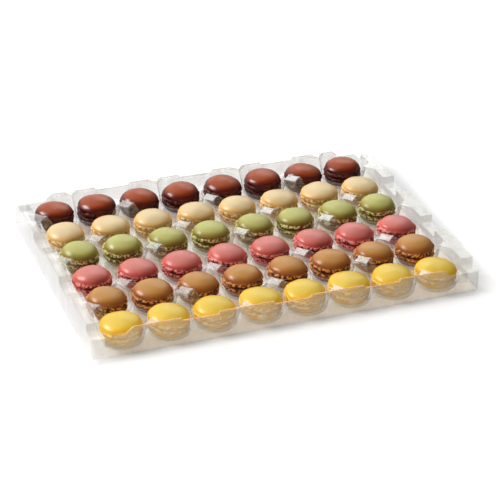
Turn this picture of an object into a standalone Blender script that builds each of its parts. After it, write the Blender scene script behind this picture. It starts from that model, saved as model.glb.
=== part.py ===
"""A clear moulded tray with forty-eight macarons, eight to a row and one flavour to each of its six rows.

The tray is one thin sheet. Square cells hold round pockets, and posts stand at every other crossing of
the cells' lines, like the squares of one colour on a chessboard. The rim is notched in the same rhythm.
Origin: the middle of the tray's footprint, on the surface it stands on. +X runs along the rows of eight,
+Y points away from the front row, +Z is up. Sizes are metres.
"""
import math
import random

import bmesh
import bpy
from mathutils import Euler, Vector
from mathutils.geometry import delaunay_2d_cdt

MM = 0.001

# Driving dimensions of the tray
PITCH = 42 * MM
COLUMNS = 8
ROWS = 6
HALF_LENGTH = 180 * MM
HALF_WIDTH = 127 * MM
CORNER_RADIUS = 4 * MM
SHEET = 0.6 * MM

# Heights of the tray's upper face above the ground
FLOOR_TOP = SHEET
WALL_FOOT = 6.5 * MM
SADDLE_TOP = 8 * MM
RIDGE_TOP = 10 * MM
DECK_TOP = 19.5 * MM
RIM_LOW = 23.5 * MM
HIGH_TOP = 26.2 * MM

# Plan of the pockets and their walls
FLOOR_RADIUS = 16.5 * MM
FLOOR_SIDES = 12
WALL_RADIUS = 20 * MM
WALL_ARC = math.pi / 6
RIDGE_SETBACK = 5 * MM

# Plan of the posts: four-pointed tops on four-pointed feet
PAD_TIP = 0.20 * PITCH
PAD_WAIST = 0.115 * PITCH
FOOT_TIP = 0.26 * PITCH
FOOT_WAIST = 0.222 * PITCH

# Plan of the rim: narrow along the rows of eight, a wide deck with raised blocks at their ends
RIM_WIDTH = 1.8 * MM
RIM_HIGH_REACH = 0.60 * PITCH
DECK_HIGH_REACH = 0.65 * PITCH
END_RAMP = (3.42 * PITCH, 3.60 * PITCH)
STEP_RUN = 1.2 * MM
BLOCK_DRAFT = 0.6 * MM
BELT_GAP = 1.5 * MM
CORNER_STEPS = 2
BELT_X = COLUMNS / 2 * PITCH
INNER_X = BELT_X + BLOCK_DRAFT
INNER_Y = HALF_WIDTH - RIM_WIDTH

# Closeness, in metres, at which a point counts as on a line, or two points as one
ON_LINE = 1e-9
SAME_POINT = 0.00002

# One flavour to a row, back row first: name, radius, height, colour and roughness of the shell
FLAVOURS = (
    ("cocoa", 18.4 * MM, 25.4 * MM, (0.180, 0.045, 0.022), 0.34),
    ("vanilla", 17.9 * MM, 24.4 * MM, (0.730, 0.470, 0.200), 0.45),
    ("pistachio", 18.0 * MM, 25.5 * MM, (0.370, 0.380, 0.110), 0.45),
    ("rose", 18.2 * MM, 24.3 * MM, (0.620, 0.140, 0.140), 0.45),
    ("caramel", 18.4 * MM, 25.2 * MM, (0.370, 0.170, 0.060), 0.42),
    ("lemon", 18.7 * MM, 24.6 * MM, (0.830, 0.530, 0.060), 0.42),
)
MACARON_SIDES = 12
MACARON_LIFT = 1.1 * MM
MACARON_SHIFT = (-0.8 * MM, -0.5 * MM)
FRONT_ROW_SHIFT = 0.4 * MM

# Unevenness: shifts in metres, sizes as shares, leans in degrees
SHIFT_SPREAD = 0.3 * MM
SIZE_SPREAD = 0.014
HEIGHT_SPREAD = 0.018
LEAN_SIDEWAYS = 2.0
LEAN_SPREAD = 0.9
SEED = 48

# Half outline of a macaron from the foot up, as shares of its radius and of its height
MACARON_OUTLINE = (
    (0.00, 0.000),
    (0.46, 0.000),
    (0.83, 0.150),
    (0.99, 0.355),
    (0.91, 0.490),
    (1.00, 0.620),
    (0.95, 0.770),
    (0.63, 0.950),
    (0.00, 1.000),
)


def start_empty():
    for obj in list(bpy.data.objects):
        bpy.data.objects.remove(obj, do_unlink=True)


def make_material(name, colour, roughness, alpha=1.0):
    material = bpy.data.materials.new(name)
    material.use_nodes = True
    shader = material.node_tree.nodes["Principled BSDF"]
    shader.inputs["Base Color"].default_value = (*colour, 1.0)
    shader.inputs["Roughness"].default_value = roughness
    shader.inputs["Metallic"].default_value = 0.0
    shader.inputs["Alpha"].default_value = alpha
    return material


class Plan:
    """Points of the tray's upper face, in millimetres, each with its height, and the lines its facets keep."""

    def __init__(self):
        self.points = []
        self.heights = []
        self.lines = []
        self.index = {}

    def point(self, x, y, z):
        key = (round(x / MM, 3), round(y / MM, 3))
        if key not in self.index:
            self.index[key] = len(self.points)
            self.points.append(Vector(key))
            self.heights.append(z)
        return self.index[key]

    def chain(self, points):
        for first, second in zip(points, points[1:]):
            if first != second:
                self.lines.append((first, second))


def has_post(column, row):
    """Posts stand at every other crossing."""
    return (column - row) % 2 == 0


def on_rim(column, row):
    return column == COLUMNS // 2 or row == ROWS // 2


def post_top(column, row):
    """Every second crossing of the middle and outer lines is tall, and the rest end level with the deck."""
    if on_rim(column, row):
        return HIGH_TOP
    tall = row % 2 == 0 and (column == 2 or row == 0)
    return HIGH_TOP if tall else DECK_TOP


def crossing(column, row):
    """Where a crossing of the cells' lines lies, with those of the rim drawn in to its inner edge."""
    return min(column * PITCH, INNER_X), min(row * PITCH, INNER_Y)


def add_star(plan, column, row, tip, waist, margin):
    """A four-pointed outline round a crossing, of which the part inside the rim is kept.

    tip and waist each give a reach and a height. A negative margin leaves out points on the rim's own line.
    """
    cx, cy = crossing(column, row)
    ring = []
    for step in range(8):
        angle = step * math.pi / 4
        reach, height = waist if step % 2 else tip
        x = cx + reach * math.cos(angle)
        y = cy + reach * math.sin(angle)
        inside = -ON_LINE < x < INNER_X + margin and -ON_LINE < y < INNER_Y + margin
        ring.append(plan.point(max(x, 0), max(y, 0), height) if inside else None)
    for first, second in zip(ring, ring[1:] + ring[:1]):
        if first is not None and second is not None:
            plan.chain([first, second])
    return ring[::2]


def add_posts(plan):
    for column in range(COLUMNS // 2 + 1):
        for row in range(ROWS // 2 + 1):
            if not has_post(column, row):
                continue
            top = post_top(column, row)
            tips = add_star(plan, column, row, (PAD_TIP, top), (PAD_WAIST, top), ON_LINE)
            feet = add_star(plan, column, row, (FOOT_TIP, RIDGE_TOP), (FOOT_WAIST, WALL_FOOT), -ON_LINE)
            for tip, foot in zip(tips, feet):
                if tip is not None and foot is not None:
                    plan.chain([tip, foot])


def saddle(plan, column, row):
    """The low point of the ridges at a crossing that has no post, set back from the rim's wall."""
    x, y = crossing(column, row)
    x -= RIDGE_SETBACK if column == COLUMNS // 2 else 0
    y -= RIDGE_SETBACK if row == ROWS // 2 else 0
    return plan.point(x, y, SADDLE_TOP)


def add_ridges(plan):
    """Ridges run along the cells' lines, from the foot of a post to the next crossing, which has none."""
    for column in range(COLUMNS // 2 + 1):
        for row in range(ROWS // 2 + 1):
            if has_post(column, row):
                continue
            middle = saddle(plan, column, row)
            for across, along in ((1, 0), (-1, 0), (0, 1), (0, -1)):
                if not (0 <= column + across <= COLUMNS // 2 and 0 <= row + along <= ROWS // 2):
                    continue
                if (column == COLUMNS // 2 and along) or (row == ROWS // 2 and across):
                    continue
                half = plan.point((column + across / 2) * PITCH, (row + along / 2) * PITCH, RIDGE_TOP)
                end_x, end_y = crossing(column + across, row + along)
                foot = plan.point(end_x - across * FOOT_TIP, end_y - along * FOOT_TIP, RIDGE_TOP)
                plan.chain([middle, half, foot])


def add_pockets(plan):
    """Round floors, and the foot of the steep wall where a pocket lies against the rim."""
    for column in range(COLUMNS // 2):
        for row in range(ROWS // 2):
            cx, cy = (column + 0.5) * PITCH, (row + 0.5) * PITCH
            ring = []
            for step in range(FLOOR_SIDES):
                angle = step * math.tau / FLOOR_SIDES
                spot = (cx + FLOOR_RADIUS * math.cos(angle), cy + FLOOR_RADIUS * math.sin(angle))
                ring.append(plan.point(*spot, FLOOR_TOP))
            plan.chain(ring + ring[:1])
            if column == COLUMNS // 2 - 1:
                corners = [(COLUMNS // 2, row), (COLUMNS // 2, row + 1)]
                add_wall_foot(plan, (cx, cy), 0, corners)
            if row == ROWS // 2 - 1:
                corners = [(column + 1, ROWS // 2), (column, ROWS // 2)]
                add_wall_foot(plan, (cx, cy), math.pi / 2, corners)


def add_wall_foot(plan, middle, facing, corners):
    """The foot of the rim's wall: an arc round the macaron, between the crossings on both sides of it."""
    arc = []
    for turn in (-WALL_ARC, 0, WALL_ARC):
        angle = facing + turn
        spot = (middle[0] + WALL_RADIUS * math.cos(angle), middle[1] + WALL_RADIUS * math.sin(angle))
        arc.append(plan.point(*spot, WALL_FOOT))
    plan.chain([wall_end(plan, corners[0], middle), *arc, wall_end(plan, corners[1], middle)])


def wall_end(plan, corner, middle):
    """The point beside a crossing on the rim that a wall's foot runs to."""
    if not has_post(*corner):
        return saddle(plan, *corner)
    x, y = crossing(*corner)
    reach = FOOT_WAIST * math.sqrt(0.5)
    return plan.point(x + math.copysign(reach, middle[0] - x), y + math.copysign(reach, middle[1] - y), WALL_FOOT)


def rim_stations():
    """Places and heights along the long rim: high on both sides of a post, low between, and a ramp at the end."""
    half = STEP_RUN / 2
    stations = [(0, RIM_LOW)]
    for post in range(1, COLUMNS // 2, 2):
        start = post * PITCH - RIM_HIGH_REACH
        stop = post * PITCH + RIM_HIGH_REACH
        stations += [(start - half, RIM_LOW), (start + half, HIGH_TOP)]
        if stop < END_RAMP[0]:
            stations += [(stop - half, HIGH_TOP), (stop + half, RIM_LOW)]
    return stations + [(END_RAMP[0], HIGH_TOP), (END_RAMP[1], DECK_TOP)]


def deck_stations():
    """Places and heights along the short rim: high beside the posts, and down to the deck between."""
    half = STEP_RUN / 2
    stations = [(0, HIGH_TOP)]
    for post in range(0, ROWS // 2, 2):
        if post:
            start = post * PITCH - DECK_HIGH_REACH
            stations += [(start - half, DECK_TOP), (start + half, HIGH_TOP)]
        stop = post * PITCH + DECK_HIGH_REACH
        stations += [(stop - half, HIGH_TOP), (stop + half, DECK_TOP)]
    return stations


def add_long_rim(plan):
    """The narrow rim along a row of eight, up to the corner's deck. Returns the plan points of its outer edge."""
    inner = rim_stations()
    for post in range(1, COLUMNS // 2, 2):
        inner += [(post * PITCH - PAD_TIP, HIGH_TOP), (post * PITCH + PAD_TIP, HIGH_TOP)]
    inner = [plan.point(x, INNER_Y, z) for x, z in sorted(inner) + [(BELT_X, DECK_TOP)]]
    outer = [plan.point(x, HALF_WIDTH, z) for x, z in rim_stations()]
    plan.chain(inner)
    plan.chain([inner[0], outer[0]])
    return outer


def add_belt(plan):
    """The deck's inner edge, which stops short of the posts that stand against it."""
    reach = PAD_TIP + BELT_GAP
    for post in range(0, ROWS // 2, 2):
        start = post * PITCH + reach
        stop = min((post + 2) * PITCH - reach, INNER_Y)
        marks = {start, stop} | {y for y, _ in deck_stations() if start < y < stop}
        plan.chain([plan.point(BELT_X, y, DECK_TOP) for y in sorted(marks)])


def add_short_rim(plan):
    """The wide deck at the end of the rows, with its raised blocks. Returns the plan points of its outer edge."""
    add_belt(plan)
    outer = []
    for y, z in deck_stations():
        outer.append(plan.point(HALF_LENGTH, y, z))
        inner_x = INNER_X if z == HIGH_TOP else BELT_X
        plan.chain([plan.point(inner_x, y, z), outer[-1]])
    for post in range(0, ROWS // 2, 2):
        middle = post * PITCH
        marks = {y for y, z in deck_stations() if z == HIGH_TOP and abs(y - middle) < PITCH}
        marks |= {abs(middle - PAD_TIP), middle + PAD_TIP}
        plan.chain([plan.point(INNER_X, y, HIGH_TOP) for y in sorted(marks)])
    return outer[::-1]


def add_rim(plan):
    """Both rims and the rounded corner between them. Returns the sheet's outer edge, in order."""
    edge = add_long_rim(plan)
    centre = (HALF_LENGTH - CORNER_RADIUS, HALF_WIDTH - CORNER_RADIUS)
    for step in range(CORNER_STEPS + 1):
        angle = math.pi / 2 * (1 - step / CORNER_STEPS)
        spot = (centre[0] + CORNER_RADIUS * math.cos(angle), centre[1] + CORNER_RADIUS * math.sin(angle))
        edge.append(plan.point(*spot, DECK_TOP))
    edge += add_short_rim(plan)
    plan.chain(edge)
    return edge


def raise_plan(plan, edge):
    """The plan's facets at their heights, with the skirt that hangs from the outer edge to the ground."""
    spots, _, facets, sources, _, _ = delaunay_2d_cdt(plan.points, plan.lines, [], 0, SAME_POINT / MM)
    bm = bmesh.new()
    vertices = []
    placed = {}
    for spot, source in zip(spots, sources):
        vertices.append(bm.verts.new((spot.x * MM, spot.y * MM, plan.heights[source[0]])))
        placed[source[0]] = vertices[-1]
    for facet in facets:
        bm.faces.new([vertices[corner] for corner in facet])
    rim = [bm.edges.get((placed[a], placed[b])) for a, b in zip(edge, edge[1:])]
    skirt = bmesh.ops.extrude_edge_only(bm, edges=rim)["geom"]
    for vertex in (item for item in skirt if isinstance(item, bmesh.types.BMVert)):
        vertex.co.z = 0
    bmesh.ops.recalc_face_normals(bm, faces=bm.faces)
    if next(iter(bm.faces)).normal.z < 0:
        bmesh.ops.reverse_faces(bm, faces=bm.faces)
    mesh = bpy.data.meshes.new("tray")
    bm.to_mesh(mesh)
    bm.free()
    return mesh


def build_tray(collection, material):
    """A quarter of the sheet is drawn in plan and raised, then mirrored twice and given its thickness."""
    plan = Plan()
    add_posts(plan)
    add_ridges(plan)
    add_pockets(plan)
    edge = add_rim(plan)
    plan.point(0, 0, HIGH_TOP)
    mesh = raise_plan(plan, edge)
    mesh.materials.append(material)

    tray = bpy.data.objects.new("tray", mesh)
    collection.objects.link(tray)
    mirror = tray.modifiers.new("quarter to whole", "MIRROR")
    mirror.use_axis = (True, True, False)
    mirror.merge_threshold = SAME_POINT
    solidify = tray.modifiers.new("sheet", "SOLIDIFY")
    solidify.thickness = SHEET
    solidify.offset = -1
    solidify.use_even_offset = False


def macaron_mesh(name, radius, height, material):
    """The half outline of one macaron, top to bottom, for the Screw modifier to turn."""
    bm = bmesh.new()
    points = [bm.verts.new((r * radius, 0, z * height)) for r, z in reversed(MACARON_OUTLINE)]
    for first, second in zip(points, points[1:]):
        bm.edges.new((first, second))
    mesh = bpy.data.meshes.new(name)
    bm.to_mesh(mesh)
    bm.free()
    mesh.materials.append(material)
    return mesh


def foot_circle(radius):
    """The flat foot's edge, whose lowest point sets how high a leaning macaron sits."""
    share = MACARON_OUTLINE[1][0]
    for step in range(MACARON_SIDES):
        angle = step * math.tau / MACARON_SIDES
        yield Vector((share * radius * math.cos(angle), share * radius * math.sin(angle), 0))


def build_macaron(collection, column, row, material, rng):
    """One macaron in its pocket. Neighbours lean to opposite sides, each a little more or less than the next."""
    name, radius, height = FLAVOURS[row][:3]
    radius *= 1 + rng.uniform(-SIZE_SPREAD, SIZE_SPREAD)
    height *= 1 + rng.uniform(-HEIGHT_SPREAD, HEIGHT_SPREAD)
    label = "%s_%d" % (name, column + 1)
    macaron = bpy.data.objects.new(label, macaron_mesh(label, radius, height, material))
    collection.objects.link(macaron)
    screw = macaron.modifiers.new("turned", "SCREW")
    screw.axis = "Z"
    screw.steps = MACARON_SIDES
    screw.render_steps = MACARON_SIDES
    screw.use_merge_vertices = True
    screw.merge_threshold = SAME_POINT

    shift_y = FRONT_ROW_SHIFT if row == ROWS - 1 else MACARON_SHIFT[1]
    x = (column + 0.5 - COLUMNS / 2) * PITCH + MACARON_SHIFT[0] + rng.uniform(-SHIFT_SPREAD, SHIFT_SPREAD)
    y = (ROWS / 2 - row - 0.5) * PITCH + shift_y + rng.uniform(-SHIFT_SPREAD, SHIFT_SPREAD)
    side = 1 if (column + row) % 2 == 0 else -1
    lean_side = math.radians(side * LEAN_SIDEWAYS + rng.uniform(-LEAN_SPREAD, LEAN_SPREAD))
    lean_back = math.radians(rng.uniform(-LEAN_SPREAD, LEAN_SPREAD))
    turn = Euler((lean_back, lean_side, rng.uniform(0, math.tau)), "ZYX")
    macaron.rotation_mode = "ZYX"
    macaron.rotation_euler = turn
    lowest = min((turn.to_matrix() @ spot).z for spot in foot_circle(radius))
    macaron.location = (x, y, MACARON_LIFT - lowest)


def main():
    start_empty()
    collection = bpy.data.collections.new("box of macarons")
    bpy.context.scene.collection.children.link(collection)
    build_tray(collection, make_material("clear plastic", (0.90, 0.91, 0.90), 0.12, 0.35))
    rng = random.Random(SEED)
    for row, (name, _, _, colour, roughness) in enumerate(FLAVOURS):
        material = make_material(name + " shell", colour, roughness)
        for column in range(COLUMNS):
            build_macaron(collection, column, row, material, rng)


main()
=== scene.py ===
"""The looks of an open clear tray of forty-eight macarons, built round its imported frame.

The tray is one thin clear sheet, drawn as a quarter and mirrored. Each macaron is a turned form of two
domed shells with ruffled feet and a filling between, which Geometry Nodes make uneven and craggy. Sizes are
metres.
"""
import math
import random

import bmesh
import bpy
import numpy as np
from mathutils import Matrix, Vector


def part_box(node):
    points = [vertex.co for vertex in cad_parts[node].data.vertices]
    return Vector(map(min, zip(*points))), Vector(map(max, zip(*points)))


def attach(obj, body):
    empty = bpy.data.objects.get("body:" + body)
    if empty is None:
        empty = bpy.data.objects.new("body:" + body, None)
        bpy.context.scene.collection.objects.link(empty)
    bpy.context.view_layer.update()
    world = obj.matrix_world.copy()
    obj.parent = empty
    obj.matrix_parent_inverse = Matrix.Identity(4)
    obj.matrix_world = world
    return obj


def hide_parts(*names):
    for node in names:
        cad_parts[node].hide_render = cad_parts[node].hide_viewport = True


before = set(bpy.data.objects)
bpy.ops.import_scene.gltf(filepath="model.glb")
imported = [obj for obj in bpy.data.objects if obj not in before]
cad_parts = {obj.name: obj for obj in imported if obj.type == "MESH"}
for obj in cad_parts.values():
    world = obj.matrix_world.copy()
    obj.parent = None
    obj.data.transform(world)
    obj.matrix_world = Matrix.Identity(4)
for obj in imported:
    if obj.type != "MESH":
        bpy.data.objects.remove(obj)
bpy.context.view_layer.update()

MM = 0.001

# The tray's size comes from the frame, and its plan follows from the pitch of the macarons
HALF_LENGTH, HALF_WIDTH, HIGH_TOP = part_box("tray")[1]
PITCH = 42 * MM
COLUMNS = 8
ROWS = 6
SHEET = 0.4 * MM
ROUNDING = 0.4 * MM
CORNER_RADIUS = 4 * MM
RIM_WIDTH = 1.8 * MM
BELT_X = COLUMNS / 2 * PITCH
INNER_Y = HALF_WIDTH - RIM_WIDTH

# Heights of the sheet's upper face
FLOOR_MIDDLE = 1.0 * MM
FLOOR_TOP = SHEET
WALL_FOOT = 6.5 * MM
SADDLE_TOP = 10.2 * MM
RIDGE_TOP = 11.2 * MM
DECK_TOP = 19.5 * MM
RIM_LOW = 23.5 * MM
CREASE_SOFTNESS = 1.3 * MM

# How wide a fold's milky line is, how milky the sheet is at each kind of fold, and how tan it is at the
# short rims and at the hem, as shares of the long rims' lips. The milk at folds is partly a painted
# highlight, and at the hem a painted glint line; the tan is a painted reflection of the food, and at the
# hem a painted line of shade
FOLD_WIDTH = 0.9 * MM
RIDGE_FOLD = 0.7
PAD_FOLD = 1.25
RIM_FOLD = 0.3
SKIRT_FOLD = 0.20
HEM_GLINT_FOLD = 0.9
SIDE_LIP = 0.12
HEM_LIP = 0.15

# Plan of a pocket: a flat floor, a round bowl, and a steep wall out to the tops of the posts. The tip of a
# post's top is where that circle meets the cell's line
FLOOR_RADIUS = 12.5 * MM
WALL_RADIUS = 19.7 * MM
PAD_RADIUS = 24.5 * MM
TIP_ANGLE = math.acos(PITCH / 2 / PAD_RADIUS)

# How steep a wall is, how soon a ridge climbs to a post, and which share of the tip's angle is still ridge
WALL_SLOPE = 4.3
POST_SHOULDER = 1.6
PAD_START = 0.8

# Of the posts inside the tray and off its middle line, the tall one, as a crossing of a quarter
TALL_POST = (2, 2)

# The points of a pocket: from an axis to a tip and on to the diagonal, and the rings' radii in millimetres
STEPS_TO_TIP = 4
STEPS_PAST_TIP = 2
ANGLE_DIGITS = 6
POCKET_RINGS = (0, 7, 12.5, 14.4, 16.1, 17.6, 18.7, 19.4, 19.7, 20.0, 20.25, 20.5, 20.7, 20.85,
                21.0, 21.3, 21.7, 22.3, 23.0, 23.6, 24.0, 24.3, 24.5, 24.8, 30)

# The rim's notches: how far its high parts reach from a post on the long and short sides, the ramp at the
# long side's ends, and how far a step runs
RIM_HIGH_REACH = 0.60 * PITCH
DECK_HIGH_REACH = 0.65 * PITCH
END_RAMP = (3.42 * PITCH, 3.60 * PITCH)
STEP_RUN = 1.2 * MM
CORNER_STEPS = 6

# Points nearer to each other than these are one, and edges sharper than the angle stay sharp
SAME_POINT = 0.02 * MM
SAME_CORNER = SAME_POINT / 10
NEARLY_NONE = 1e-9
SHARP_ANGLE = math.radians(40)

RIGHT = Vector((1, 0, 0))
BACK = Vector((0, 1, 0))
UP = Vector((0, 0, 1))


def smooth(share):
    """Eases from 0 to 1."""
    share = min(max(share, 0.0), 1.0)
    return share * share * (3 - 2 * share)


def mix(first, second, share):
    return first + (second - first) * share


def new_object(name, data):
    """An object of the scene."""
    made = bpy.data.objects.new(name, data)
    bpy.context.scene.collection.objects.link(made)
    return made


def baked_mesh(obj, name):
    """The object's mesh with its modifiers carried out, which are then removed."""
    bpy.context.view_layer.update()
    mesh = bpy.data.meshes.new_from_object(obj.evaluated_get(bpy.context.evaluated_depsgraph_get()))
    mesh.name = name
    obj.modifiers.clear()
    return mesh


# The tray


def nearest_crossing(column, row, across, up):
    """The crossing of the cells' lines that a place, given from the middle of a cell, lies towards."""
    return column + (across > 0), row + (up > 0)


def turn_of(across, up):
    """Angle between a place's direction from the middle of its cell and the nearest axis."""
    return math.atan2(min(abs(across), abs(up)), max(abs(across), abs(up)))


def has_post(column, row):
    """Posts stand at every other crossing of the cells' lines."""
    return (column - row) % 2 == 0


def post_top(column, row):
    """Posts on the rim and on the long middle line are tall, and so is one more in each quarter."""
    on_rim = column == COLUMNS // 2 or row == ROWS // 2
    return HIGH_TOP if on_rim or row == 0 or (column, row) == TALL_POST else DECK_TOP


def rim_stations():
    """Places and heights along the long rim: high beside each post, low between, and a ramp at the end."""
    half = STEP_RUN / 2
    stations = [(0, RIM_LOW)]
    for post in range(1, COLUMNS // 2, 2):
        start = post * PITCH - RIM_HIGH_REACH
        stop = post * PITCH + RIM_HIGH_REACH
        stations += [(start - half, RIM_LOW), (start + half, HIGH_TOP)]
        if stop < END_RAMP[0]:
            stations += [(stop - half, HIGH_TOP), (stop + half, RIM_LOW)]
    return stations + [(END_RAMP[0], HIGH_TOP), (END_RAMP[1], DECK_TOP), (BELT_X, DECK_TOP)]


def deck_stations():
    """Places and heights along the short rim: high blocks beside the posts, and the deck between them."""
    half = STEP_RUN / 2
    stations = [(0, HIGH_TOP)]
    for post in range(0, ROWS // 2, 2):
        start = post * PITCH - DECK_HIGH_REACH
        stop = post * PITCH + DECK_HIGH_REACH
        if post:
            stations += [(start - half, DECK_TOP), (start + half, HIGH_TOP)]
        stations += [(stop - half, HIGH_TOP), (stop + half, DECK_TOP)]
    return stations + [(INNER_Y, DECK_TOP)]


def height_along(stations, place):
    return float(np.interp(place, [s[0] for s in stations], [s[1] for s in stations]))


def bowl_height(radius):
    """The pocket's floor, a little raised in the middle, and the round bowl up to the foot of the wall."""
    if radius <= FLOOR_RADIUS:
        return mix(FLOOR_MIDDLE, FLOOR_TOP, smooth(radius / FLOOR_RADIUS))
    share = min((radius - FLOOR_RADIUS) / (WALL_RADIUS - FLOOR_RADIUS), 1)
    return FLOOR_TOP + (WALL_FOOT - FLOOR_TOP) * (1 - math.sqrt(1 - share * share))


def soft_min(first, second):
    """The lower of two heights, with the crease between them rounded."""
    overlap = max(CREASE_SOFTNESS - abs(first - second), 0)
    return min(first, second) - overlap * overlap / (4 * CREASE_SOFTNESS)


def pocket_height(column, row, across, up):
    """Height of the sheet at a place given from the middle of a cell. Walls rise into posts and ridges."""
    radius = math.hypot(across, up)
    if radius <= WALL_RADIUS:
        return bowl_height(radius)
    towards = smooth(turn_of(across, up) / TIP_ANGLE)
    wall = WALL_FOOT + (radius - WALL_RADIUS) * WALL_SLOPE
    crossing = nearest_crossing(column, row, across, up)
    if not has_post(*crossing):
        return soft_min(wall, mix(RIDGE_TOP, SADDLE_TOP, towards))
    top = post_top(*crossing)
    share = min((radius - WALL_RADIUS) / (PAD_RADIUS - WALL_RADIUS), 1)
    post = mix(WALL_FOOT, top + CREASE_SOFTNESS, share)
    shoulder = mix(RIDGE_TOP, top + CREASE_SOFTNESS, smooth(towards * POST_SHOULDER))
    return soft_min(soft_min(mix(wall, post, towards), shoulder), top)


def octant_turns():
    """Angles from a cell's axis to its diagonal, with one at the tip of a post's top."""
    turns = [TIP_ANGLE * step / STEPS_TO_TIP for step in range(STEPS_TO_TIP)]
    rest = math.pi / 4 - TIP_ANGLE
    return turns + [TIP_ANGLE + rest * step / STEPS_PAST_TIP for step in range(STEPS_PAST_TIP + 1)]


def cell_angles(extra):
    """Directions of the points of a cell's rings: the same in all four quarters, and some extra ones."""
    octant = octant_turns()
    quarter = octant + [math.pi / 2 - turn for turn in octant[-2:0:-1]]
    angles = [side * math.pi / 2 + turn for side in range(4) for turn in quarter]
    return sorted({round(angle % math.tau, ANGLE_DIGITS) for angle in angles + extra})


def fold_at(column, row, across, up):
    """How milky the sheet is, partly as a painted highlight: most on a post's top, and a little where a wall
    turns over into a ridge.
    """
    radius = math.hypot(across, up)
    towards_post = has_post(*nearest_crossing(column, row, across, up))
    if towards_post and turn_of(across, up) > TIP_ANGLE * PAD_START:
        return max(1 - abs(radius - PAD_RADIUS) / FOLD_WIDTH, 0 if radius < PAD_RADIUS else PAD_FOLD)
    crest = WALL_RADIUS + (RIDGE_TOP - WALL_FOOT) / WALL_SLOPE
    return max(1 - abs(radius - crest) / FOLD_WIDTH, 0) * RIDGE_FOLD


def add_cell(bm, column, row, fold_milk_and_glint):
    """One pocket out to the lines of its cell, as rings of points that stop at those lines."""
    cx, cy = (column + 0.5) * PITCH, (row + 0.5) * PITCH
    right, back = PITCH / 2, PITCH / 2
    extra = []
    if row == ROWS // 2 - 1:
        back = INNER_Y - cy
        places = [x - cx for x, _ in rim_stations() if abs(x - cx) < PITCH / 2]
        extra += [math.atan2(back, place) for place in places + [-PITCH / 2, PITCH / 2]]
    if column == COLUMNS // 2 - 1:
        extra += [math.atan2(y - cy, right) for y, _ in deck_stations() if -PITCH / 2 < y - cy < back]
    rings = []
    angles = cell_angles(extra)
    for ring in POCKET_RINGS:
        points = []
        for angle in angles:
            way_x, way_y = math.cos(angle), math.sin(angle)
            to_side = (right if way_x > 0 else PITCH / 2) / max(abs(way_x), NEARLY_NONE)
            to_back = (back if way_y > 0 else PITCH / 2) / max(abs(way_y), NEARLY_NONE)
            radius = min(ring * MM, to_side, to_back)
            across, up = radius * way_x, radius * way_y
            height = pocket_height(column, row, across, up)
            vertex = bm.verts.new((cx + across, cy + up, height))
            vertex[fold_milk_and_glint] = fold_at(column, row, across, up)
            points.append(vertex)
        rings.append(points)
    for inner, outer in zip(rings, rings[1:]):
        for i in range(len(angles)):
            j = (i + 1) % len(angles)
            bm.faces.new((inner[i], outer[i], outer[j], inner[j]))


def rim_columns(bm):
    """The tray's inner edge, as (lower vertex, way out, rim height, outer places), from the middle of the
    long rim round the corner to the middle of the short one."""
    long_side = sorted((v for v in bm.verts if abs(v.co.y - INNER_Y) < SAME_POINT), key=lambda v: v.co.x)
    short_side = sorted((v for v in bm.verts if abs(v.co.x - BELT_X) < SAME_POINT), key=lambda v: -v.co.y)
    rims, decks = rim_stations(), deck_stations()
    columns = []
    for vertex in long_side[:-1]:
        x = vertex.co.x
        columns.append((vertex, BACK, height_along(rims, x), [(Vector((x, HALF_WIDTH, 0)), BACK)]))
    corner = [(Vector((BELT_X, HALF_WIDTH, 0)), BACK)]
    middle = Vector((HALF_LENGTH - CORNER_RADIUS, HALF_WIDTH - CORNER_RADIUS, 0))
    for step in range(CORNER_STEPS + 1):
        turn = math.pi / 2 * (1 - step / CORNER_STEPS)
        way = Vector((math.cos(turn), math.sin(turn), 0))
        corner.append((middle + CORNER_RADIUS * way, way))
    columns.append((long_side[-1], RIGHT + BACK, DECK_TOP, corner))
    for vertex in short_side[1:]:
        y = vertex.co.y
        if y > middle.y - ROUNDING:
            places = [corner[-1]]
        else:
            places = [(Vector((HALF_LENGTH, y, 0)), RIGHT)]
        columns.append((vertex, RIGHT, height_along(decks, y), places))
    return columns


def add_rim(bm, shifts, fold_milk_and_glint, painted_lip_tint):
    """The wall from the pockets up to the rim, its flat top and the skirt outside, with rounded edges. The
    hem's points are returned, and shifts is told how far from each point the lower face lies."""
    down = UP * -SHEET
    rows = []
    for lower, way, height, places in rim_columns(bm):
        base = Vector((lower.co.x, lower.co.y, 0))
        wall_top = max(height - ROUNDING, lower.co.z)
        clear_top = max(wall_top - FOLD_WIDTH, lower.co.z)
        inner = [bm.verts.new(base + UP * clear_top), bm.verts.new(base + UP * wall_top),
                 bm.verts.new(base + way * ROUNDING + UP * height)]
        # The painted tan, a reflection of the food's colours: full on the long rims, less on the short ones
        tan = 1 if way.y and base.x < END_RAMP[1] else SIDE_LIP
        for vertex in [lower] + inner:
            shifts[vertex] = way * SHEET + down
        for place, out in places:
            heights = (height - ROUNDING, height - ROUNDING - FOLD_WIDTH, FOLD_WIDTH, 0)
            outer = [bm.verts.new(place - out * ROUNDING + UP * height)]
            outer += [bm.verts.new(place + UP * level) for level in heights]
            # The rim's milk, partly a painted highlight, and its tan, a painted reflection of the food
            for vertex in inner[1:] + outer[:2]:
                vertex[fold_milk_and_glint] = RIM_FOLD * tan
                vertex[painted_lip_tint] = tan
            outer[2][fold_milk_and_glint] = outer[3][fold_milk_and_glint] = SKIRT_FOLD
            # At the hem a painted glint line, and a faint tan that is a painted line of shade
            outer[4][fold_milk_and_glint] = HEM_GLINT_FOLD
            outer[4][painted_lip_tint] = HEM_LIP * tan
            for vertex in outer[:3]:
                shifts[vertex] = -out * SHEET + down
            for vertex in outer[3:]:
                shifts[vertex] = -out * SHEET
            rows.append([lower] + inner + outer)
    lines = list(zip(*rows))
    for first, second in zip(lines, lines[1:]):
        for i in range(len(first) - 1):
            corners = []
            for vertex in (first[i], first[i + 1], second[i + 1], second[i]):
                if vertex not in corners:
                    corners.append(vertex)
            if len(corners) > 2:
                bm.faces.new(corners)
    return lines[-1]


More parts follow.
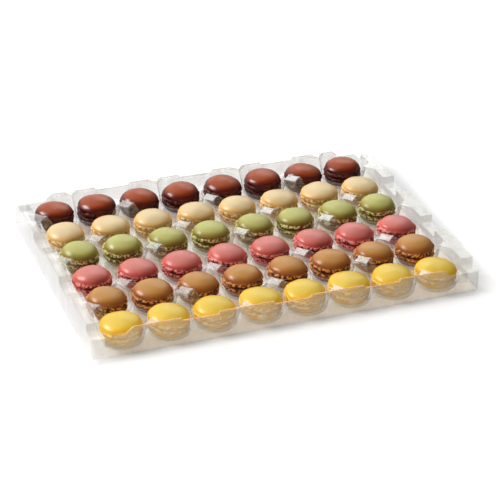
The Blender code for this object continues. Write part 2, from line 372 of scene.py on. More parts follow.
def build_tray(material):
    """The upper face of a quarter of the sheet, a second face below it, and both mirrored to the tray."""
    bm = bmesh.new()
    fold_milk_and_glint = bm.verts.layers.float.new("fold_milk_and_glint")
    painted_lip_tint = bm.verts.layers.float.new("painted_lip_tint")
    for column in range(COLUMNS // 2):
        for row in range(ROWS // 2):
            add_cell(bm, column, row, fold_milk_and_glint)
    bmesh.ops.remove_doubles(bm, verts=bm.verts, dist=SAME_POINT)
    bmesh.ops.dissolve_degenerate(bm, dist=SAME_CORNER, edges=bm.edges)
    shifts = {}
    hem = add_rim(bm, shifts, fold_milk_and_glint, painted_lip_tint)
    bmesh.ops.recalc_face_normals(bm, faces=bm.faces)
    bm.verts.index_update()
    upper = list(bm.verts)
    faces = list(bm.faces)
    if sum(face.normal.z * face.calc_area() for face in faces) < 0:
        bmesh.ops.reverse_faces(bm, faces=faces)
    lower = {v: bm.verts.new(v.co + shifts.get(v, UP * -SHEET)) for v in upper}
    for vertex in upper:
        lower[vertex][fold_milk_and_glint] = vertex[fold_milk_and_glint]
        lower[vertex][painted_lip_tint] = vertex[painted_lip_tint]
    for face in faces:
        bm.faces.new([lower[v] for v in reversed(face.verts)])
    for first, second in zip(hem, hem[1:]):
        if first != second:
            bm.faces.new((second, first, lower[first], lower[second]))
    bmesh.ops.remove_doubles(bm, verts=bm.verts, dist=SAME_CORNER)
    mesh = bpy.data.meshes.new("clear_sheet")
    bm.to_mesh(mesh)
    bm.free()
    mesh.materials.append(material)

    sheet = new_object("clear_sheet", mesh)
    mirror = sheet.modifiers.new("quarter to whole", "MIRROR")
    mirror.use_axis = (True, True, False)
    mirror.merge_threshold = SAME_POINT
    sheet.data = baked_mesh(sheet, "clear_sheet")
    sheet.data.shade_smooth()
    sheet.data.set_sharp_from_angle(angle=SHARP_ANGLE)
    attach(sheet, "root")
    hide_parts("tray")


# The macarons

# Heights in a macaron, as shares of its thickness, and half widths, as shares of its radius
UPPER_FOOT = 0.150
FILLING_BAND = 0.065
LOWER_FOOT = 0.135
DOME_RADIUS = 1.0
FOOT_RADIUS = 1.0
FILLING_DEPTH = 0.03
FILLING_BULGE = 0.012
# Where the dome's edge starts to darken, as a share of its radius: partly browning, partly painted shade
EDGE_START = 0.66

# How square the upper dome and the lower shell are in profile, where 2 is round, and how round the feet are
DOME_POWER = 2.02
BASE_POWER = 2.9
FOOT_FULLNESS = 0.4

# Rows of points up each part, and points round
DOME_ROWS = 13
FOOT_ROWS = 9
FILLING_ROWS = 3
ROUND_STEPS = 168

# What a foot's waist and the filling take of a foot's ruffle
WAIST_RUFFLE = 0.25
FILLING_RUFFLE = 0.12

# The whole form's unevenness and the noise that makes it
UNEVENNESS = 2.0 * MM
SWELL_NOISE = (48.0, 1.5)
NOISE_MIDDLE = (0.5, 0.5, 0.5)

# The feet's crags: how deep they are, how small and how steep their crumbs are, and their fine pores
RUFFLE = 1.15 * MM
CRUMB_SCALE = 430.0
CRUMB_FALL = 1.45
PORE_NOISE = (1100.0, 2.0)
PORE_HEIGHT = 0.7
RELIEF_MIDDLE = 0.5

# What tells one macaron from the next: the steps of its noise and its turn, and how its dome's width varies
SEED_STEP = 0.37
TURN_STEP = 2.4
DOME_SPREAD = 0.02

# Inputs of the tree that makes a macaron, with values for a typical one
TREE_INPUTS = (
    ("Geometry", "NodeSocketGeometry", None),
    ("Radius", "NodeSocketFloat", 18 * MM),
    ("Height", "NodeSocketFloat", 25 * MM),
    ("Dome share", "NodeSocketFloat", 0.9),
    ("Seed", "NodeSocketFloat", 0.0),
    ("Unevenness", "NodeSocketFloat", UNEVENNESS),
    ("Ruffle", "NodeSocketFloat", RUFFLE),
    ("Shell", "NodeSocketMaterial", None),
    ("Filling", "NodeSocketMaterial", None),
)


def dome_point(width, height):
    """A point of a dome, as outline gives it, with an edge that starts at a half width and darkens: partly
    baked browning, partly painted shade.
    """
    return width, height, 0.0, smooth((width - EDGE_START) / (DOME_RADIUS - EDGE_START)), False


def outline(rim, waist):
    """Half outline of a macaron from bottom to top, given the height of its upper dome's rim and the width
    of its feet's ends. A point is a half width, a height, how far it is a foot, how far it is a dome's edge,
    browned and darkened with painted shade, and whether it is filling."""
    filling_high = rim - UPPER_FOOT
    filling_low = filling_high - FILLING_BAND
    lower_rim = filling_low - LOWER_FOOT
    points = []
    for row in range(DOME_ROWS):
        turn = math.pi / 2 * (1 - row / DOME_ROWS)
        width = DOME_RADIUS * math.cos(turn) ** (2 / BASE_POWER) if row else 0
        points.append(dome_point(width, lower_rim * (1 - math.sin(turn) ** (2 / BASE_POWER))))
    points += foot_outline(lower_rim, filling_low, waist)
    for row in range(FILLING_ROWS):
        share = row / (FILLING_ROWS - 1)
        width = waist - FILLING_DEPTH + FILLING_BULGE * math.sin(math.pi * share)
        points.append((width, mix(filling_low, filling_high, share), FILLING_RUFFLE, 1.0, True))
    points += foot_outline(filling_high, rim, waist)
    for row in range(1, DOME_ROWS + 1):
        turn = math.pi / 2 * row / DOME_ROWS
        width = DOME_RADIUS * math.cos(turn) ** (2 / DOME_POWER) if row < DOME_ROWS else 0
        points.append(dome_point(width, mix(rim, 1, math.sin(turn) ** (2 / DOME_POWER))))
    return points


def foot_outline(low, high, waist):
    """A foot's points, narrowest at its ends."""
    points = []
    for row in range(FOOT_ROWS):
        share = row / (FOOT_ROWS - 1)
        bulge = math.sin(math.pi * share) ** FOOT_FULLNESS
        width = mix(waist, FOOT_RADIUS, bulge)
        points.append((width, mix(low, high, share), mix(WAIST_RUFFLE, 1, bulge), 1.0, False))
    return points


def plain_macaron(rim, waist):
    """The turned form, one unit in radius and height, marked at its points and, as filling, at its faces."""
    points = outline(rim, waist)
    bm = bmesh.new()
    foot = bm.verts.layers.float.new("foot")
    browned_and_shaded = bm.verts.layers.float.new("browned_and_shaded")
    dome = bm.verts.layers.float.new("dome")
    filling = bm.faces.layers.float.new("filling")
    fillings = [point[-1] for point in points]
    rings = []
    for width, height, share, edge, _ in points:
        ring = []
        for step in range(ROUND_STEPS if width else 1):
            turn = math.tau * step / ROUND_STEPS
            vertex = bm.verts.new((width * math.cos(turn), width * math.sin(turn), height))
            vertex[foot] = share
            vertex[browned_and_shaded] = edge
            vertex[dome] = float(share == 0)
            ring.append(vertex)
        rings.append(ring)
    for index, (inner, outer) in enumerate(zip(rings, rings[1:])):
        for step in range(ROUND_STEPS):
            after = (step + 1) % ROUND_STEPS
            if len(inner) == 1:
                face = bm.faces.new((inner[0], outer[after], outer[step]))
            elif len(outer) == 1:
                face = bm.faces.new((inner[step], inner[after], outer[0]))
            else:
                face = bm.faces.new((inner[step], inner[after], outer[after], outer[step]))
            face[filling] = float(fillings[index] and fillings[index + 1])
    mesh = bpy.data.meshes.new("plain_macaron")
    bm.to_mesh(mesh)
    bm.free()
    return mesh


class NodeTree:
    """Builds a node tree in few words. Sockets are given and returned, and plain values set on inputs."""

    def __init__(self, tree):
        self.tree = tree

    def link(self, made, wanted):
        self.tree.links.new(made, wanted)

    def add(self, kind, output=0, inputs=(), **settings):
        node = self.tree.nodes.new(kind)
        for name, value in settings.items():
            setattr(node, name, value)
        for name, value in dict(inputs).items():
            if isinstance(value, bpy.types.NodeSocket):
                self.link(value, node.inputs[name])
            else:
                node.inputs[name].default_value = value
        return node.outputs[output]

    def maths(self, operation, first, second=0.0, third=0.0):
        return self.add("ShaderNodeMath", inputs={0: first, 1: second, 2: third}, operation=operation)

    def vector(self, operation, first, second, output=0):
        return self.add("ShaderNodeVectorMath", output, {0: first, 1: second}, operation=operation)

    def scaled(self, vector, share):
        return self.add("ShaderNodeVectorMath", inputs={0: vector, "Scale": share}, operation="SCALE")

    def apart(self, vector):
        return self.add("ShaderNodeSeparateXYZ", inputs={0: vector}).node.outputs

    def ramp(self, value, start, stop, first=0.0, last=1.0):
        return self.add("ShaderNodeMapRange", inputs={
            "Value": value, "From Min": start, "From Max": stop, "To Min": first, "To Max": last})

    def band(self, rising, start, falling, stop, height):
        """Climbs to a height over a range of one value, and sinks over a range of the same or another."""
        climb, descent = self.ramp(rising, *start, 0.0, height), self.ramp(falling, *stop, height, 0.0)
        return self.maths("MINIMUM", climb, descent)

    def blend(self, share, first, second, how="MIX"):
        return self.add("ShaderNodeMixRGB", inputs={0: share, 1: first, 2: second}, blend_type=how)

    def tinted(self, colour, tint):
        return self.blend(1.0, colour, tint, "MULTIPLY")

    def place(self):
        return self.add("ShaderNodeTexCoord", "Object")

    def mark(self, name):
        return self.add("ShaderNodeAttribute", "Fac", attribute_name=name)

    def noise(self, place, scale, detail, output=0):
        return self.add("ShaderNodeTexNoise", output, {"Vector": place, "Scale": scale, "Detail": detail})

    def bump(self, height, strength, distance):
        inputs = {"Height": height, "Strength": strength, "Distance": distance}
        return self.add("ShaderNodeBump", inputs=inputs)


def crag_tree():
    """Geometry Nodes that size the plain macaron, make it uneven, ruffle its feet and give it materials."""
    tree = bpy.data.node_groups.new("ruffled macaron", "GeometryNodeTree")
    for name, kind, value in TREE_INPUTS:
        socket = tree.interface.new_socket(name, in_out="INPUT", socket_type=kind)
        if value is not None:
            socket.default_value = value
    tree.interface.new_socket("Geometry", in_out="OUTPUT", socket_type="NodeSocketGeometry")
    build = NodeTree(tree)
    given = tree.nodes.new("NodeGroupInput").outputs

    def stored(name):
        return build.add("GeometryNodeInputNamedAttribute", inputs={"Name": name}, data_type="FLOAT")

    def moved(geometry, **change):
        return build.add("GeometryNodeSetPosition", inputs={"Geometry": geometry} | change)

    place = build.add("GeometryNodeInputPosition")
    narrower = build.maths("SUBTRACT", given["Dome share"], 1.0)
    share = build.maths("MULTIPLY_ADD", narrower, stored("dome"), 1.0)
    reach = build.maths("MULTIPLY", share, given["Radius"])
    size = build.add("ShaderNodeCombineXYZ", inputs={"X": reach, "Y": reach, "Z": given["Height"]})
    sized = moved(given["Geometry"], Position=build.vector("MULTIPLY", place, size))

    own = build.vector("ADD", place, given["Seed"])
    swing = build.vector("SUBTRACT", build.noise(own, *SWELL_NOISE, "Color"), NOISE_MIDDLE)
    uneven = moved(sized, Offset=build.scaled(swing, given["Unevenness"]))

    crumbs = build.add("ShaderNodeTexVoronoi", inputs={"Vector": own, "Scale": CRUMB_SCALE})
    pores = build.maths("MULTIPLY_ADD", build.noise(own, *PORE_NOISE), PORE_HEIGHT, -PORE_HEIGHT / 2)
    relief = build.maths("ADD", build.maths("MULTIPLY_ADD", crumbs, -CRUMB_FALL, 1.0), pores)
    push = build.maths("MULTIPLY", build.maths("SUBTRACT", relief, RELIEF_MIDDLE), stored("foot"))
    out = build.scaled(build.add("GeometryNodeInputNormal"), build.maths("MULTIPLY", push, given["Ruffle"]))
    marked = build.add("GeometryNodeStoreNamedAttribute", inputs={
        "Geometry": uneven, "Name": "relief", "Value": relief}, data_type="FLOAT", domain="POINT")
    ruffled = moved(marked, Offset=out)

    even = build.add("GeometryNodeSetShadeSmooth", inputs={"Geometry": ruffled, "Shade Smooth": True})
    baked = build.add("GeometryNodeSetMaterial", inputs={"Geometry": even, "Material": given["Shell"]})
    filled = build.add("GeometryNodeSetMaterial", inputs={
        "Geometry": baked, "Material": given["Filling"],
        "Selection": build.maths("GREATER_THAN", stored("filling"), 0.5)})
    whole = build.add("GeometryNodeRealizeInstances", inputs={"Geometry": filled})
    build.link(whole, tree.nodes.new("NodeGroupOutput").inputs["Geometry"])
    return tree


def lie_of(node):
    """Where a macaron of the frame lies: its foot's middle, its axis, its radius and its thickness."""
    points = np.array([v.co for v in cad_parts[node].data.vertices])
    middle = points.mean(0)
    top = points[points[:, 2].argmax()]
    axis = top - middle
    axis /= np.linalg.norm(axis)
    along_axis = (points - top) @ axis
    off_axis = np.linalg.norm(points - top - np.outer(along_axis, axis), axis=1)
    thickness = -along_axis.min()
    return Vector(top - axis * thickness), Vector(axis), float(off_axis.max()), float(thickness)


def build_macaron(node, plain, tree, seed, shares, looks):
    """A macaron in the place of its solid: its form sized, made uneven, turned by its number, and leant."""
    dome, height, crags = shares
    foot, axis, radius, thickness = lie_of(node)
    macaron = new_object("macaron_" + node, plain)
    modifier = macaron.modifiers.new("ruffles", "NODES")
    modifier.node_group = tree
    spread = random.Random(seed).uniform(-DOME_SPREAD, DOME_SPREAD)
    wanted = {"Radius": radius, "Height": thickness * height, "Dome share": dome + spread,
              "Seed": seed * SEED_STEP, "Unevenness": UNEVENNESS, "Ruffle": RUFFLE * crags} | looks
    for socket in tree.interface.items_tree:
        if socket.in_out == "INPUT" and socket.name in wanted:
            modifier[socket.identifier] = wanted[socket.name]
    mesh = baked_mesh(macaron, macaron.name)
    lean = UP.rotation_difference(axis).to_matrix().to_4x4()
    mesh.transform(Matrix.Translation(foot) @ lean @ Matrix.Rotation(seed * TURN_STEP, 4, "Z"))
    macaron.data = mesh
    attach(macaron, "root")
    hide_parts(node)


# Materials

# The clear sheet: what it lets through to the eye and to the lights, how white it is away from its folds and
# at them, the white at folds being partly a painted highlight, how much of what is behind it that white
# hides, and how far folds count, from left to right, which paints them brighter towards the right
SEEN_THROUGH = (0.966, 0.966, 0.960, 1)
LIT_THROUGH = (0.965, 0.965, 0.965, 1)
VEIL = (0.56, 0.558, 0.548, 1)
MILK = (0.84, 0.835, 0.815, 1)
CLEAR_MILK = 0.042
FOLD_MILK_AND_GLINT = (0.18, 0.39)
FOLD_LIMITS_BRIGHTER_RIGHT = (-3 * PITCH, 3 * PITCH, 0.45, 1.25)

# The sheet's tan lip, a painted reflection of the food's colours, strongest at the front
LIP_TINT = (0.96, 0.90, 0.80, 1)
LIP_MILK = (0.97, 0.70, 0.42, 1)
LIP_HAZE = 0.18

# How much the sheet mirrors where it faces the eye, how much more at a slant, and how that rises
MIRROR_FACING = 0.036
MIRROR_SLANTED = 0.90
MIRROR_POWER = 5.0
MIRROR_BLEND = 0.5
GLOSS_FINISH = {"Base Color": (1, 1, 1, 1), "Metallic": 1.0, "Roughness": 0.11}

# The sheet's waves, which also streak the milk and painted highlight of its folds: a noise's scale and
# detail, a bump's strength and distance
WAVE_STRETCH = (1, 1, 0.2)
WAVE_NOISE = (130.0, 1.0)
WAVE_BUMP = (0.04, 0.8 * MM)
STREAKS = (0.35, 0.65)

# The shells: clouds on the domes; by the feet's relief, crumbs painted lighter as a highlight and pits
# painted dark as shade; and a fine grain
CLOUD_NOISE = (90.0, 3.0)
CLOUD_SHARE = 0.35
CLOUD_TINT = (0.86, 0.80, 0.72, 1)
CRUMB_HIGHLIGHT_TINT = (1.12, 1.14, 1.25, 1)
CRUMB_HIGHLIGHT_RELIEF = (0.55, 0.85, 0.0, 0.9)
PIT_SHADE_RELIEF = (0.36, 0.12)
FOOT_ROUGHNESS = 0.3
GRAIN_NOISE = (900.0, 2.0)
GRAIN_BUMP = (0.2, 0.2 * MM)
SHELL_FINISH = {"Specular IOR Level": 0.60, "Subsurface Weight": 0.2, "Subsurface Radius": (1.0, 0.6, 0.4),
                "Subsurface Scale": 1.5 * MM}

# The filling
CREAM_NOISE = (420.0, 2.0)
CREAM_SHADE_TINT = (0.6, 0.6, 0.6, 1)
CREAM_BUMP = (0.4, 0.4 * MM)
CREAM_FINISH = {"Roughness": 0.45}


def new_material(name):
    """A material, its tree's builder and its Principled shader."""
    material = bpy.data.materials.new(name)
    material.use_nodes = True
    build = NodeTree(material.node_tree)
    return material, build, material.node_tree.nodes["Principled BSDF"]


def set_values(node, values):
    for name, value in values.items():
        node.inputs[name].default_value = value


def clear_plastic():
    """A thin clear sheet: seen through where it faces the eye, a mirror at a slant, milky at its folds,
    partly as a painted highlight, and tan at its lip as a painted reflection of the food.
    """
    material, build, shader = new_material("clear plastic")
    place = build.place()
    x, y, _ = build.apart(place)
    waves = build.noise(build.vector("MULTIPLY", place, WAVE_STRETCH), *WAVE_NOISE)
    bump = build.bump(waves, *WAVE_BUMP)
    slant = build.add("ShaderNodeLayerWeight", "Facing", {"Blend": MIRROR_BLEND, "Normal": bump})
    slant = build.maths("POWER", slant, MIRROR_POWER)
    mirror = build.maths("MULTIPLY_ADD", slant, MIRROR_SLANTED, MIRROR_FACING)
    seen = build.maths("SUBTRACT", 1.0, build.add("ShaderNodeLightPath", "Is Shadow Ray"))

    # The lip's painted tan fades from the front to the back
    front = build.ramp(y, -HALF_WIDTH, HALF_WIDTH, 1.0, 0.0)
    painted_lip_tint = build.maths("MULTIPLY", build.mark("painted_lip_tint"), front)
    # Folds count less on the left, so that their painted highlight is brighter towards the right
    fold_milk_and_glint = build.maths("MINIMUM", build.mark("fold_milk_and_glint"), build.ramp(x, *FOLD_LIMITS_BRIGHTER_RIGHT))
    through = build.blend(seen, LIT_THROUGH, SEEN_THROUGH)
    through = build.blend(build.maths("MULTIPLY", painted_lip_tint, seen), through, LIP_TINT)
    clear = build.add("ShaderNodeBsdfTransparent", inputs={"Color": through})

    white = build.blend(painted_lip_tint, build.blend(fold_milk_and_glint, VEIL, MILK), LIP_MILK)
    milk_and_glint = build.add("ShaderNodeBsdfDiffuse", inputs={"Color": white})
    streaks = build.ramp(waves, *STREAKS, *FOLD_MILK_AND_GLINT)
    haze = build.maths("MULTIPLY_ADD", fold_milk_and_glint, streaks, CLEAR_MILK)
    haze = build.maths("MULTIPLY", build.maths("MULTIPLY_ADD", painted_lip_tint, LIP_HAZE, haze), seen)
    body = build.add("ShaderNodeMixShader", inputs={0: haze, 1: clear, 2: milk_and_glint})

    set_values(shader, GLOSS_FINISH)
    build.link(bump, shader.inputs["Normal"])
    gloss = build.maths("MULTIPLY", mirror, seen)
    both = build.add("ShaderNodeMixShader", inputs={0: gloss, 1: body, 2: shader.outputs[0]})
    build.link(both, material.node_tree.nodes["Material Output"].inputs["Surface"])
    return material


def new_group(name, given, made):
    """A shader node group's builder, the sockets that the group is given, and those that it hands out."""
    tree = bpy.data.node_groups.new(name, "ShaderNodeTree")
    for way, sockets in (("INPUT", given), ("OUTPUT", made)):
        for label, kind in sockets.items():
            tree.interface.new_socket(label, in_out=way, socket_type="NodeSocket" + kind)
    taken, handed = tree.nodes.new("NodeGroupInput"), tree.nodes.new("NodeGroupOutput")
    return NodeTree(tree), taken.outputs, handed.inputs


def baked_shell_group():
    """A baked shell: clouded on its dome, browned and darkened with painted shade at the dome's edge, and on
    its foot a painted highlight on its crumbs and painted shade in its pits.
    """
    build, given, made = new_group(
        "baked shell",
        {"Shell": "Color", "Browned shaded edge": "Color", "Foot": "Color", "Pit shade": "Color", "Dome roughness": "Float"},
        {"Colour": "Color", "Roughness": "Float", "Normal": "Vector"})
    place = build.place()
    foot, relief = build.mark("foot"), build.mark("relief")
    cloud = build.maths("MULTIPLY", build.noise(place, *CLOUD_NOISE), CLOUD_SHARE)
    clouded = build.blend(cloud, given["Shell"], build.tinted(given["Shell"], CLOUD_TINT))
    # Darker and more saturated towards the dome's edge: partly browning, partly painted shade
    dome = build.blend(build.mark("browned_and_shaded"), clouded, given["Browned shaded edge"])
    # Painted highlight on the crumbs of high relief, and painted shade in the pits of low relief
    crumb_highlight = build.tinted(given["Shell"], CRUMB_HIGHLIGHT_TINT)
    crumb_highlighted = build.blend(build.ramp(relief, *CRUMB_HIGHLIGHT_RELIEF), given["Foot"], crumb_highlight)
    pit_shaded = build.blend(build.ramp(relief, *PIT_SHADE_RELIEF), crumb_highlighted, given["Pit shade"])
    build.link(build.blend(foot, dome, pit_shaded), made["Colour"])
    roughness = build.maths("MULTIPLY_ADD", foot, FOOT_ROUGHNESS, given["Dome roughness"])
    build.link(roughness, made["Roughness"])
    build.link(build.bump(build.noise(place, *GRAIN_NOISE), *GRAIN_BUMP), made["Normal"])
    return build.tree


def cream_group():
    """A soft filling with painted shade, darker where its noise is high."""
    build, given, made = new_group("cream", {"Filling": "Color"}, {"Colour": "Color", "Normal": "Vector"})
    cream = build.noise(build.place(), *CREAM_NOISE)
    noise_shade = build.tinted(given["Filling"], CREAM_SHADE_TINT)
    build.link(build.blend(cream, given["Filling"], noise_shade), made["Colour"])
    build.link(build.bump(cream, *CREAM_BUMP), made["Normal"])
    return build.tree


def grouped_material(name, group, colours, finish, values=()):
    """A Principled material with a finish of its own, which takes its colour, its normal and, where the
    group gives it, its roughness from a node group."""
    material, build, shader = new_material(name)
    inputs = {label: (*colour, 1) for label, colour in colours.items()}
    made = build.add("ShaderNodeGroup", inputs=inputs | dict(values), node_tree=group).node.outputs
    for label, wanted in (("Colour", "Base Color"), ("Roughness", "Roughness"), ("Normal", "Normal")):
        if label in made:
            build.link(made[label], shader.inputs[wanted])
    set_values(shader, finish)
    return material


# One flavour to a row, from back to front: how wide a dome is to its foot, how thick the macaron is to its
# solid, how craggy its feet are, at which share of its height the upper dome's rim lies, and how wide the
# feet's ends are
SHAPES = {
    "cocoa": (0.95, 0.975, 1.0, 0.660, 0.89),
    "vanilla": (0.95, 0.945, 0.60, 0.695, 0.94),
    "pistachio": (0.90, 0.985, 1.0, 0.700, 0.89),
    "rose": (0.88, 0.95, 0.95, 0.705, 0.89),
    "caramel": (0.90, 0.965, 1.0, 0.705, 0.89),
    "lemon": (0.96, 0.91, 0.5, 0.690, 0.96),
}

# The flavours' linear colours, of shell, dome edge (browned, and darker as painted shade), foot, pits
# (painted shade) and filling, and their domes' roughness
SHELL_COLOURS = ("Shell", "Browned shaded edge", "Foot", "Pit shade")
FLAVOURS = {
    "cocoa": ((0.36, 0.070, 0.010), (0.13, 0.006, 0.001), (0.20, 0.018, 0.003), (0.012, 0.002, 0.001),
              (0.030, 0.005, 0.003), 0.26),
    "vanilla": ((0.73, 0.585, 0.345), (0.84, 0.54, 0.21), (1.0, 0.82, 0.44), (0.62, 0.30, 0.09),
                (0.90, 0.64, 0.30), 0.33),
    "pistachio": ((0.485, 0.480, 0.160), (0.33, 0.270, 0.040), (0.86, 0.82, 0.35), (0.14, 0.095, 0.021),
                  (0.30, 0.16, 0.035), 0.33),
    "rose": ((0.62, 0.215, 0.187), (0.70, 0.155, 0.128), (0.97, 0.33, 0.27), (0.20, 0.010, 0.012),
             (0.18, 0.012, 0.016), 0.33),
    "caramel": ((0.51, 0.262, 0.066), (0.40, 0.140, 0.026), (0.86, 0.38, 0.11), (0.08, 0.014, 0.003),
                (0.12, 0.024, 0.006), 0.33),
    "lemon": ((0.75, 0.550, 0.074), (0.82, 0.51, 0.034), (1.0, 0.77, 0.30), (0.66, 0.38, 0.09),
              (0.92, 0.66, 0.27), 0.32),
}


def build_macarons():
    tree = crag_tree()
    shell_group, filling_group = baked_shell_group(), cream_group()
    for row, (name, (dome, height, crags, rim, waist)) in enumerate(SHAPES.items()):
        *shell, filling, roughness = FLAVOURS[name]
        colours, values = dict(zip(SHELL_COLOURS, shell)), {"Dome roughness": roughness}
        looks = {
            "Shell": grouped_material(name + " shell", shell_group, colours, SHELL_FINISH, values),
            "Filling": grouped_material(
                name + " filling", filling_group, {"Filling": filling}, CREAM_FINISH),
        }
        plain = plain_macaron(rim, waist)
        for column in range(COLUMNS):
            node = "%s_%d" % (name, column + 1)
            seed = row * COLUMNS + column + 1
            build_macaron(node, plain, tree, seed, (dome, height, crags), looks)


# The stage

# The camera: its place round the tray and above it, its roll and lens, and how far it is back, right and up
AZIMUTH = math.radians(-21.545)
ELEVATION = math.radians(29.190)
ROLL = math.radians(1.357)
LENS = 133.92
DISTANCE = 1.7098
AIM_RIGHT = 8.63 * MM
AIM_UP = 5.39 * MM
CLIP_START = 50 * MM

# Level directions to the right of the picture and away from the camera
LEVEL = Vector((math.cos(AZIMUTH), math.sin(AZIMUTH), 0))
AWAY = Vector((-math.sin(AZIMUTH), math.cos(AZIMUTH), 0))

# The floor: metres across, how far it lies below the tray, and its finish
FLOOR_SIZE = 8
FLOOR_DROP = 0.2 * MM
FLOOR_FINISH = {"Base Color": (0.56, 0.56, 0.56, 1), "Roughness": 0.9, "Specular IOR Level": 0.1,
                "Emission Strength": 1.0}

# The floor's glow, a painted light that is lower under the tray as painted shade: under the tray and past
# its ends, from left to right, and past its sides, from front to back. Each band is where it changes, as
# distances past the tray's edge, and all of it is moved a little
GLOW_UNDER = (0.32, 0.46)
GLOW_ENDS = (0.42, 0.53)
GLOW_SIDES = (0.54, 0.80)
END_BAND = (-16 * MM, 10 * MM)
SIDE_BAND = (-12 * MM, 10 * MM)
GLOW_SHIFT = (6 * MM, -4 * MM, 0)

# A painted line of shade all round the hem
HEM_SHADE = 0.17
HEM_START = (-10 * MM, -4 * MM)
HEM_STOP = (-4 * MM, 6 * MM)

# A painted shadow past the right-hand end, wider towards the back, which fades out at the front and at the
# back
RIGHT_SHADE = 0.27
RIGHT_START = (-6 * MM, 6 * MM)
RIGHT_STOP = (4 * MM, 17 * MM)
RIGHT_SPREAD = 0.055
RIGHT_FRONT = (-2 * MM, 24 * MM)
RIGHT_BACK = (4 * MM, 40 * MM)

# Painted warm light off the food under the tray, but for its left end, and a painted pale patch of light
# under its front left corner
FOOD_LIGHT = (0.14, 0.07, 0.0)
FOOD_BAND = (-12 * MM, -5 * MM)
LEFT_BAND = (-182 * MM, -158 * MM)
CORNER_LIGHT = 0.20
CORNER_START = (-2 * MM, 5 * MM)
CORNER_STOP = (25 * MM, 50 * MM)

# The studio's light: how strong it is on its dark and bright sides, where it goes from one to the other, and
# which way the bright side lies, as shares away from the camera and to the left
WORLD_LIGHT = (0.20, 1.28)
WORLD_BAND = (0.0, 0.75)
BRIGHT_AWAY = 0.6
BRIGHT_LEFT = 0.8

# Soft lights, which all face one point: metres to the right of the picture, away from the camera and up,
# width and height, watts, colour, and whether glossy surfaces mirror them
AIM_POINT = (0, 0, 20 * MM)
WHITE = (1, 1, 1)
WARM = (1.0, 0.86, 0.68)
WINDOWS = {
    "left window": ((-1.95, 0.30, 1.80), (1.2, 0.75), 50, WHITE, True),
    "top window": ((-0.50, 1.50, 2.60), (2.0, 1.6), 36, WHITE, False),
    "back window": ((0.22, 2.22, 1.48), (1.35, 1.1), 7, WHITE, True),
    "front card": ((0.05, -0.50, 0.05), (0.6, 0.08), 0.9, WARM, True),
}

# The picture's exposure and gamma, and how many clear faces the eye can see through
EXPOSURE = -0.22
GAMMA = 0.87
CLEAR_BOUNCES = 32


def camera_axes():
    """The picture's directions to the right, up and back towards the camera."""
    back = UP * math.sin(ELEVATION) - AWAY * math.cos(ELEVATION)
    upright = back.cross(LEVEL)
    right = LEVEL * math.cos(ROLL) + upright * math.sin(ROLL)
    return right, back.cross(right), back


def add_camera():
    right, up, back = camera_axes()
    data = bpy.data.cameras.new("camera")
    data.lens = LENS
    data.clip_start = CLIP_START
    camera = new_object("camera", data)
    place = back * DISTANCE + right * AIM_RIGHT + up * AIM_UP
    camera.matrix_world = Matrix.Translation(place) @ Matrix((right, up, back)).transposed().to_4x4()
    bpy.context.scene.camera = camera


def add_window(name, place, size, power, colour, mirrored):
    right, away, up = place
    data = bpy.data.lights.new(name, "AREA")
    data.shape = "RECTANGLE"
    data.size, data.size_y = size
    data.energy = power
    data.color = colour
    light = new_object(name, data)
    light.visible_glossy = mirrored
    light.location = LEVEL * right + AWAY * away + UP * up
    light.rotation_euler = (Vector(AIM_POINT) - light.location).to_track_quat("-Z", "Y").to_euler()


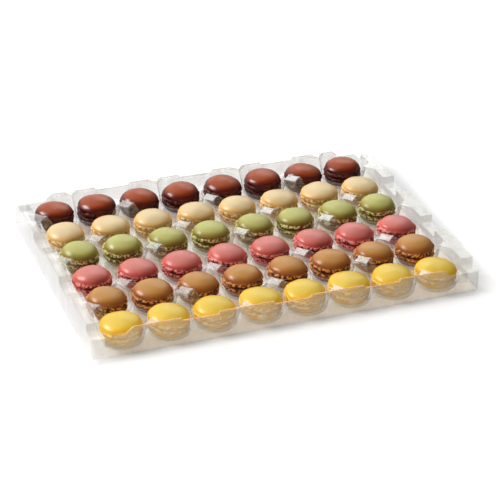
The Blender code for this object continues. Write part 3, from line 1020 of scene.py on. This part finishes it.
def painted_floor_light(build):
    """The floor's painted light: less under the tray, at its hem and to its right, as painted shade and
    shadow, and warm below the food, as painted light off it.
    """
    moved = build.vector("SUBTRACT", build.place(), GLOW_SHIFT)
    x, y, _ = build.apart(moved)
    off_x, off_y, _ = build.apart(build.vector("ABSOLUTE", moved, (0, 0, 0)))
    past_ends = build.maths("SUBTRACT", off_x, HALF_LENGTH)
    past_sides = build.maths("SUBTRACT", off_y, HALF_WIDTH)
    past_hem = build.maths("MAXIMUM", past_ends, past_sides)
    past_right = build.maths("SUBTRACT", x, HALF_LENGTH)
    past_back = build.maths("SUBTRACT", y, HALF_WIDTH)
    behind_front = build.maths("ADD", y, HALF_WIDTH)

    under = build.ramp(x, -HALF_LENGTH, HALF_LENGTH, *GLOW_UNDER)
    far_end = build.ramp(x, -HALF_LENGTH, HALF_LENGTH, *GLOW_ENDS)
    far_side = build.ramp(y, -HALF_WIDTH, HALF_WIDTH, *GLOW_SIDES)
    glow = build.maths("MAXIMUM", build.ramp(past_ends, *END_BAND, under, far_end),
                       build.ramp(past_sides, *SIDE_BAND, under, far_side))
    glow = build.maths("SUBTRACT", glow, build.band(past_hem, HEM_START, past_hem, HEM_STOP, HEM_SHADE))

    spread = build.maths("MULTIPLY_ADD", behind_front, -RIGHT_SPREAD, past_right)
    painted_right_shadow = build.band(past_right, RIGHT_START, spread, RIGHT_STOP, RIGHT_SHADE)
    painted_right_shadow = build.maths("MULTIPLY", painted_right_shadow, build.ramp(behind_front, *RIGHT_FRONT))
    painted_right_shadow = build.maths("MULTIPLY", painted_right_shadow, build.ramp(past_back, *RIGHT_BACK, 1.0, 0.0))
    glow = build.maths("SUBTRACT", glow, painted_right_shadow)

    past_left = build.ramp(x, *LEFT_BAND)
    corner = build.band(behind_front, CORNER_START, behind_front, CORNER_STOP, CORNER_LIGHT)
    corner = build.maths("MULTIPLY", corner, build.maths("SUBTRACT", 1.0, past_left))
    glow = build.maths("ADD", glow, corner)
    painted_food_light = build.maths("MULTIPLY", past_left, build.ramp(past_hem, *FOOD_BAND, 1.0, 0.0))
    return build.vector("ADD", build.scaled(WHITE, glow), build.scaled(FOOD_LIGHT, painted_food_light))


def add_floor():
    """A pale floor that glows, so that the background is white, with painted light and shade round the tray.
    """
    bpy.ops.mesh.primitive_plane_add(size=FLOOR_SIZE, location=(0, 0, -FLOOR_DROP))
    floor = bpy.context.object
    floor.name = "floor"
    floor.visible_glossy = False
    material, build, shader = new_material("pale floor with painted light")
    set_values(shader, FLOOR_FINISH)
    build.link(painted_floor_light(build), shader.inputs["Emission Color"])
    floor.data.materials.append(material)


def add_world():
    """A studio that is bright behind the tray on the left and dark behind the camera."""
    world = bpy.data.worlds.new("studio")
    bpy.context.scene.world = world
    world.use_nodes = True
    build = NodeTree(world.node_tree)
    towards = (AWAY * BRIGHT_AWAY - LEVEL * BRIGHT_LEFT).normalized()
    around = build.add("ShaderNodeTexCoord", "Generated")
    facing = build.vector("DOT_PRODUCT", around, tuple(towards), "Value")
    background = world.node_tree.nodes["Background"]
    build.link(build.ramp(facing, *WORLD_BAND, *WORLD_LIGHT), background.inputs["Strength"])
    background.inputs["Color"].default_value = (1, 1, 1, 1)


def add_stage():
    add_floor()
    add_world()
    for name, window in WINDOWS.items():
        add_window(name, *window)
    scene = bpy.context.scene
    scene.view_settings.view_transform = "Standard"
    scene.view_settings.exposure = EXPOSURE
    scene.view_settings.gamma = GAMMA
    scene.cycles.transparent_max_bounces = CLEAR_BOUNCES


add_camera()
add_stage()
build_tray(clear_plastic())
build_macarons()
